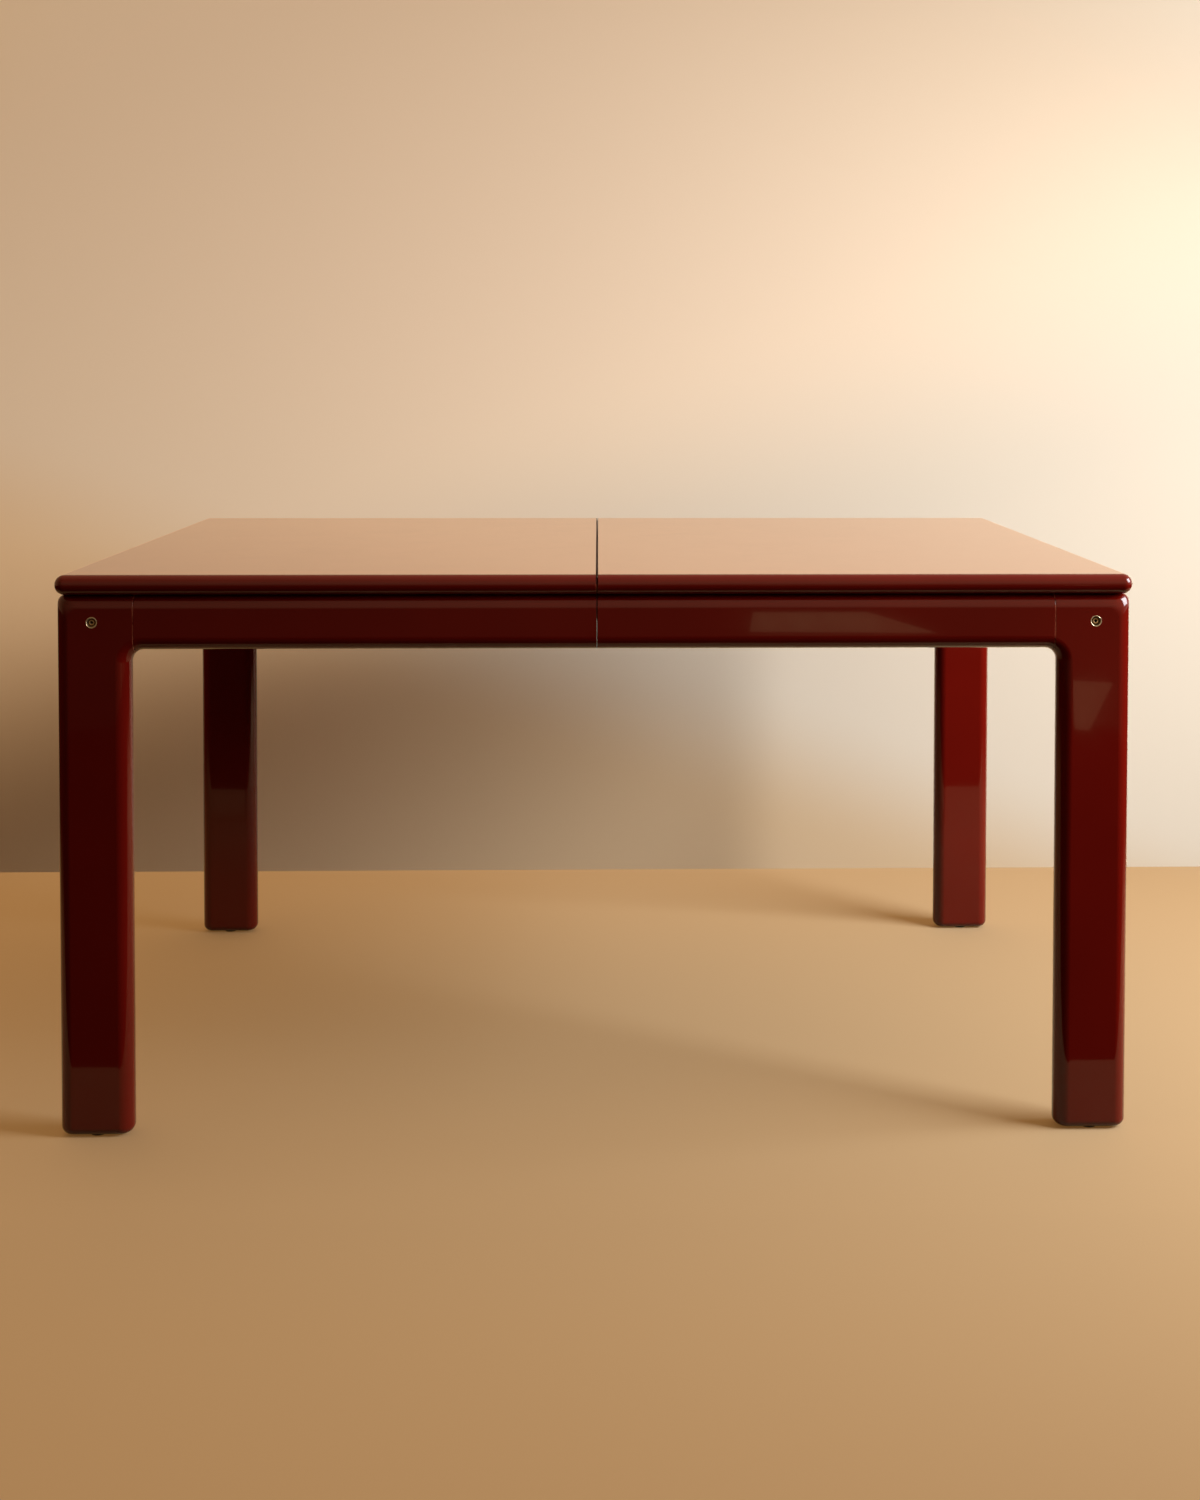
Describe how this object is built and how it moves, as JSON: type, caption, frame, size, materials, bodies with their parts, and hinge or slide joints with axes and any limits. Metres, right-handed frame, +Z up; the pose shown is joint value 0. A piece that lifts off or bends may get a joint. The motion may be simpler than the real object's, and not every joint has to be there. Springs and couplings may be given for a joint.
{
  "type": "extending dining table",
  "caption": "Glossy oxblood lacquered extending dining table with a split bullnose top, flush plank legs, sliding halves and a folding leaf stored under the top.",
  "frame": {"origin": "on the floor, under the middle of the closed table", "axes": "+X along the table to the right half, +Y from the front to the rear, +Z up"},
  "size_m": [1.396, 0.9, 0.732],
  "materials": {
    "lacquer": "high-gloss oxblood lacquer",
    "brass": "turned, lightly tarnished",
    "steel": "zinc plated",
    "beech": "planed and oiled",
    "nylon": "moulded, matt"
  },
  "bodies": {
    "centre_carriage": {"front_centre_rail": "beech", "rear_centre_rail": "beech", "left_carriage_batten": "beech", "right_carriage_batten": "beech", "upper_leaf_panel": "lacquer", "lower_leaf_panel": "lacquer", "left_leaf_hinge_upper_plate": "brass", "left_leaf_hinge_lower_plate": "brass", "left_leaf_hinge_pin": "steel", "right_leaf_hinge_upper_plate": "brass", "right_leaf_hinge_lower_plate": "brass", "right_leaf_hinge_pin": "steel"},
    "left_half": {"left_top": "lacquer", "left_end_rail": "lacquer", "front_left_rail": "lacquer", "front_left_leg": "lacquer", "front_left_leg_bolt": "brass", "front_left_bolt_ferrule": "brass", "front_left_barrel_nut": "steel", "front_left_foot_glide": "nylon", "front_left_runner": "beech", "front_left_cleat": "beech", "rear_left_rail": "lacquer", "rear_left_leg": "lacquer", "rear_left_leg_bolt": "brass", "rear_left_bolt_ferrule": "brass", "rear_left_barrel_nut": "steel", "rear_left_foot_glide": "nylon", "rear_left_runner": "beech", "rear_left_cleat": "beech", "front_lock_plate": "steel", "front_lock_pivot": "steel", "rear_lock_plate": "steel", "rear_lock_pivot": "steel"},
    "right_half": {"right_top": "lacquer", "right_end_rail": "lacquer", "front_right_rail": "lacquer", "front_right_leg": "lacquer", "front_right_leg_bolt": "brass", "front_right_bolt_ferrule": "brass", "front_right_barrel_nut": "steel", "front_right_foot_glide": "nylon", "front_right_runner": "beech", "front_right_cleat": "beech", "rear_right_rail": "lacquer", "rear_right_leg": "lacquer", "rear_right_leg_bolt": "brass", "rear_right_bolt_ferrule": "brass", "rear_right_barrel_nut": "steel", "rear_right_foot_glide": "nylon", "rear_right_runner": "beech", "rear_right_cleat": "beech", "front_lock_keeper": "steel", "front_top_dowel": "beech", "rear_lock_keeper": "steel", "rear_top_dowel": "beech"},
    "front_lock": {"front_lock_lever": "steel"},
    "rear_lock": {"rear_lock_lever": "steel"}
  },
  "joints": [
    {"name": "left_slide", "type": "slide", "parent": "centre_carriage", "child": "left_half", "axis": [-1, 0, 0], "range_m": [0, 0.25]},
    {"name": "right_slide", "type": "slide", "parent": "centre_carriage", "child": "right_half", "axis": [1, 0, 0], "range_m": [0, 0.25]},
    {"name": "front_lock_swing", "type": "hinge", "parent": "left_half", "child": "front_lock", "pos_m": [-0.018, -0.35546, 0.7019], "axis": [0, 0, -1], "range_deg": [0, 90]},
    {"name": "rear_lock_swing", "type": "hinge", "parent": "left_half", "child": "rear_lock", "pos_m": [-0.018, 0.35546, 0.7019], "axis": [0, 0, 1], "range_deg": [0, 90]}
  ]
}
